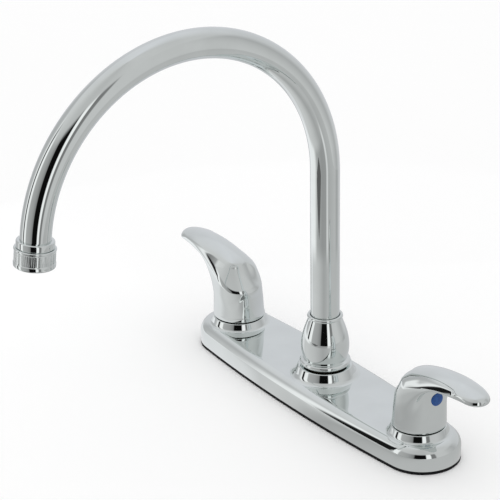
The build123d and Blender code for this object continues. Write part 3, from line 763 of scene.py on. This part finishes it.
# Outlet. A chromed collar brazed on the tube's end takes the aerator: a knurled brass housing that clamps
# a rubber washer, a plastic insert and a steel screen. Both profiles give radius and distance along the
# outlet.
outlet_overlap = 0.001
bend_end_y = bend_radius * (cos(bend_angle) - 1)
bend_end_z = straight_top + bend_radius * sin(bend_angle)
outlet_start = Vector((0.0, bend_end_y, bend_end_z)) + outlet_direction * outlet_overlap
outlet_place = Matrix.Translation(outlet_start) @ Matrix.Rotation(bend_angle, 4, "X")
end_profile = [(0.00995, 0.0), (0.0112, 0.0)]
end_profile += arc((0.0112, 0.0010), 0.0010, -90, 0, 8)
end_profile += [(0.0122, 0.0040)]
end_profile += arc((0.0117, 0.0041), 0.0005, 0, 90, 5)
end_profile += [(0.01125, 0.0046), (0.01125, 0.0090), (0.00995, 0.0090)]
end_collar = turned_piece("end_collar", end_profile)
knurl_count = 60
knurl_points = knurl_count * 10
knurl_depth = 0.00012
knurl_sharpness = 8
knurl_radius = 0.0130
knurl_start = 0.0068
knurl_end = 0.0135
housing_profile = [(0.0113, 0.0048), (0.0128, 0.0046)]
housing_profile += arc((0.01265, 0.0056), 0.00085, -80, 80, 9)
housing_profile += [(0.0129, 0.0067), (0.0131, 0.0069), (0.0131, 0.0134)]
housing_profile += [(0.0129, 0.0136), (0.0130, 0.0138)]
housing_profile += arc((0.0128, 0.0146), 0.0006, -60, 0, 4)
housing_profile += [(0.0134, 0.0158)]
housing_profile += arc((0.0124, 0.0163), 0.0010, 0, 90, 7)
housing_profile += [(0.0096, 0.0173), (0.0094, 0.0171), (0.0094, 0.0160)]
housing_profile += [(0.0107, 0.0160), (0.0107, 0.0090), (0.0113, 0.0090)]
housing_loops = []
for radius, height in housing_profile:
    knurled = knurl_start < height < knurl_end and radius > knurl_radius
    loop = []
    for point in range(knurl_points):
        turn = 2 * pi * point / knurl_points
        wave = 0.5 - 0.5 * cos(turn * knurl_count)
        groove = knurl_depth * wave**knurl_sharpness if knurled else 0.0
        loop.append(((radius - groove) * cos(turn), (radius - groove) * sin(turn), height))
    housing_loops.append(loop)
housing_loops.append(housing_loops[0])
aerator = skin_loops("aerator_shell", housing_loops, ring=True)
for piece, node_name in ((end_collar, "spout_end_collar"), (aerator, "aerator_housing")):
    piece.data.transform(outlet_place)
    finish_mesh(piece)
    piece.data.materials.append(polished_chrome)
    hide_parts(node_name)
    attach(piece, "spout")
dress_nodes(black_rubber, "aerator_washer")
dress_nodes(white_plastic, "aerator_insert")
dress_nodes(plain_steel, "aerator_screen")

# Studio. A pale floor in an even white surround. The polished metal sees a lit table top round the faucet,
# the panels and the dark flag of the set beyond it, and a pale ceiling.
camera_bearing = 37.06
floor_size = 12.0
floor_height = -0.0003
table_radius = 0.42
table_height = -0.0002
table_near = 0.22
table_far = 0.27
card_height = -0.0001
card_x = 0.035
card_y = -0.378
card_radius = 0.106
card_stretch = 1.1
ceiling_low = 0.50
ceiling_high = 0.68
bpy.ops.object.select_all(action="DESELECT")
bpy.ops.mesh.primitive_plane_add(size=floor_size, location=(0.0, 0.0, floor_height))
floor = bpy.context.active_object
floor.name = "studio_floor"
floor.visible_glossy = False
pale_floor = drifting_finish(
    "pale_floor",
    colours=((0.993, 0.993, 0.993), (0.998, 0.998, 0.998)),
    roughness=(0.8, 0.9),
    scale=1.0,
    grain_height=0.00001,
)
floor.data.materials.append(pale_floor)


# The bearing of a direction or a place from the camera's own, as a share of a full turn, its height and
# its distance
def set_bearing_group():
    group = bpy.data.node_groups.new("set_bearing", "ShaderNodeTree")
    group.interface.new_socket("Vector", in_out="INPUT", socket_type="NodeSocketVector")
    group.interface.new_socket("Bearing", in_out="OUTPUT", socket_type="NodeSocketFloat")
    group.interface.new_socket("Height", in_out="OUTPUT", socket_type="NodeSocketFloat")
    group.interface.new_socket("Distance", in_out="OUTPUT", socket_type="NodeSocketFloat")
    entry = group.nodes.new("NodeGroupInput")
    result = group.nodes.new("NodeGroupOutput")
    turned = group.nodes.new("ShaderNodeMapping")
    turned.inputs["Rotation"].default_value = (0.0, 0.0, radians(camera_bearing))
    axes = group.nodes.new("ShaderNodeSeparateXYZ")
    bearing = group.nodes.new("ShaderNodeMath")
    bearing.operation = "ARCTAN2"
    share = group.nodes.new("ShaderNodeMapRange")
    share.inputs["From Min"].default_value = -pi
    share.inputs["From Max"].default_value = pi
    distance = group.nodes.new("ShaderNodeVectorMath")
    distance.operation = "LENGTH"
    group.links.new(entry.outputs["Vector"], turned.inputs["Vector"])
    group.links.new(turned.outputs["Vector"], axes.inputs["Vector"])
    group.links.new(axes.outputs["Y"], bearing.inputs[0])
    group.links.new(axes.outputs["X"], bearing.inputs[1])
    group.links.new(bearing.outputs["Value"], share.inputs["Value"])
    group.links.new(entry.outputs["Vector"], distance.inputs[0])
    group.links.new(share.outputs["Result"], result.inputs["Bearing"])
    group.links.new(axes.outputs["Z"], result.inputs["Height"])
    group.links.new(distance.outputs["Value"], result.inputs["Distance"])
    return group


set_bearing = set_bearing_group()


# A row of panels round the set: each entry is a bearing in degrees from the camera's, and how bright it is
# there. What lies behind the faucet is a little cooler.
def panel_row(tree, bearing, entries):
    red_loss = 0.01
    blue_gain = 0.04
    row = tree.nodes.new("ShaderNodeValToRGB")
    stops = row.color_ramp.elements
    while len(stops) > 1:
        stops.remove(stops[-1])
    for index, (direction, level) in enumerate(entries):
        position = direction / 360 + 0.5
        stop = stops[0] if index == 0 else stops.new(position)
        stop.position = position
        cool = max(0.0, abs(direction) / 90 - 1)
        stop.color = (level * (1 - red_loss * cool), level, level * (1 + blue_gain * cool), 1.0)
    tree.links.new(bearing.outputs["Bearing"], row.inputs["Fac"])
    return row.outputs["Color"]


# Goes over from one row to another while a value climbs from low to high
def change_rows(tree, value, first, second, low, high):
    climb = tree.nodes.new("ShaderNodeMapRange")
    climb.interpolation_type = "SMOOTHSTEP"
    climb.inputs["From Min"].default_value = low
    climb.inputs["From Max"].default_value = high
    mixed = tree.nodes.new("ShaderNodeMix")
    mixed.data_type = "RGBA"
    tree.links.new(value, climb.inputs["Value"])
    tree.links.new(climb.outputs["Result"], mixed.inputs["Factor"])
    tree.links.new(first, mixed.inputs["A"])
    tree.links.new(second, mixed.inputs["B"])
    return mixed.outputs["Result"]


# A flat sheet on the floor that only the polished metal sees
def mirrored_sheet(name, corners, radius, place):
    bpy.ops.object.select_all(action="DESELECT")
    bpy.ops.mesh.primitive_circle_add(vertices=corners, radius=radius, fill_type="NGON", location=place)
    sheet = bpy.context.active_object
    sheet.name = name
    sheet.visible_camera = False
    sheet.visible_diffuse = False
    sheet.visible_shadow = False
    return sheet


# The table top glows by itself, with one row of brightness close to the faucet and another further out
table_top = mirrored_sheet("studio_table_top", 96, table_radius, (0.0, 0.0, table_height))
lit_table = bpy.data.materials.new("lit_table")
lit_table.use_nodes = True
table_tree = lit_table.node_tree
table_shader = table_tree.nodes["Principled BSDF"]
table_shader.inputs["Base Color"].default_value = (0.0, 0.0, 0.0, 1.0)
table_shader.inputs["Specular IOR Level"].default_value = 0.0
table_shader.inputs["Emission Strength"].default_value = 1.0
table_place = table_tree.nodes.new("ShaderNodeTexCoord")
table_bearing = table_tree.nodes.new("ShaderNodeGroup")
table_bearing.node_tree = set_bearing
table_tree.links.new(table_place.outputs["Object"], table_bearing.inputs["Vector"])
near_table = panel_row(table_tree, table_bearing, (
    (-180, 0.60), (-146, 0.60), (-138, 0.80), (-116, 0.80), (-104, 0.64), (-90, 0.66), (-50, 0.58),
    (-10, 0.42), (8, 0.46), (24, 0.53), (90, 0.52), (180, 0.60),
))
far_table = panel_row(table_tree, table_bearing, (
    (-180, 0.62), (-150, 0.62), (-140, 0.95), (-84, 0.95), (-62, 0.44), (-20, 0.34), (8, 0.36),
    (13, 0.74), (20, 0.74), (25, 0.46), (80, 0.54), (104, 0.40), (125, 0.62), (180, 0.62),
))
table_distance = table_bearing.outputs["Distance"]
table_colour = change_rows(table_tree, table_distance, near_table, far_table, table_near, table_far)
table_tree.links.new(table_colour, table_shader.inputs["Emission Color"])
table_top.data.materials.append(lit_table)

# A dark four cornered card on the table, which shows as a slit in the leg
dark_felt = drifting_finish(
    "dark_felt",
    colours=((0.090, 0.088, 0.088), (0.110, 0.108, 0.108)),
    roughness=(0.8, 0.9),
    scale=30.0,
    grain_height=0.00001,
)
dark_card = mirrored_sheet("studio_dark_card", 4, card_radius, (card_x, card_y, card_height))
bpy.ops.transform.resize(value=(card_stretch, 1.0, 1.0), center_override=(card_x, card_y, 0.0))
bpy.ops.object.transform_apply(location=True, rotation=True, scale=True)
dark_card.data.materials.append(dark_felt)

# The world is even white, and the polished metal sees the panels and the ceiling in its place
world = bpy.data.worlds.new("white_studio")
bpy.context.scene.world = world
world.use_nodes = True
set_tree = world.node_tree
surround = set_tree.nodes["Background"]
surround.inputs["Color"].default_value = (1.0, 1.0, 1.0, 1.0)
surround.inputs["Strength"].default_value = 1.0
panels = set_tree.nodes.new("ShaderNodeBackground")
world_place = set_tree.nodes.new("ShaderNodeTexCoord")
world_bearing = set_tree.nodes.new("ShaderNodeGroup")
world_bearing.node_tree = set_bearing
set_tree.links.new(world_place.outputs["Generated"], world_bearing.inputs["Vector"])
panel_colours = panel_row(set_tree, world_bearing, (
    (-180, 0.70), (-152, 0.64), (-135, 0.48), (-115, 0.50), (-107, 0.60), (-100, 0.95), (-96, 0.95),
    (-94, 0.01), (-87, 0.01), (-85, 0.98), (-72, 1.0), (-68, 0.46), (-40, 0.38), (-24, 0.26),
    (-20, 0.004), (11, 0.004), (13, 1.0), (25, 1.0), (27, 0.20), (38, 0.22), (42, 0.60), (70, 0.60),
    (104, 0.46), (125, 0.62), (180, 0.70),
))
ceiling_colours = panel_row(set_tree, world_bearing, (
    (-180, 0.74), (-130, 0.70), (-90, 0.66), (-45, 0.58), (-15, 0.54), (10, 0.54), (30, 0.58),
    (60, 0.62), (100, 0.60), (140, 0.68), (180, 0.74),
))
world_height = world_bearing.outputs["Height"]
set_colours = change_rows(
    set_tree, world_height, panel_colours, ceiling_colours, ceiling_low, ceiling_high
)
set_tree.links.new(set_colours, panels.inputs["Color"])
rays = set_tree.nodes.new("ShaderNodeLightPath")
choice = set_tree.nodes.new("ShaderNodeMixShader")
set_tree.links.new(rays.outputs["Is Glossy Ray"], choice.inputs["Fac"])
set_tree.links.new(surround.outputs["Background"], choice.inputs[1])
set_tree.links.new(panels.outputs["Background"], choice.inputs[2])
set_tree.links.new(choice.outputs["Shader"], set_tree.nodes["World Output"].inputs["Surface"])

# Camera. A long lens, a little above the faucet and to its cold side. Its matrix holds its right, up and
# backward directions and its place, one in each column.
camera = bpy.data.objects.new("camera", bpy.data.cameras.new("camera"))
bpy.context.collection.objects.link(camera)
camera.data.lens = 180.3
camera.data.sensor_width = 36.0
camera.data.clip_end = 50.0
camera.matrix_world = Matrix((
    (0.5809, -0.3339, 0.7424, 1.21581),
    (0.8139, 0.2527, -0.5232, -0.91833),
    (-0.0129, 0.9081, 0.4185, 0.81255),
    (0.0, 0.0, 0.0, 1.0),
))
bpy.context.scene.camera = camera
bpy.context.scene.view_settings.view_transform = "Standard"
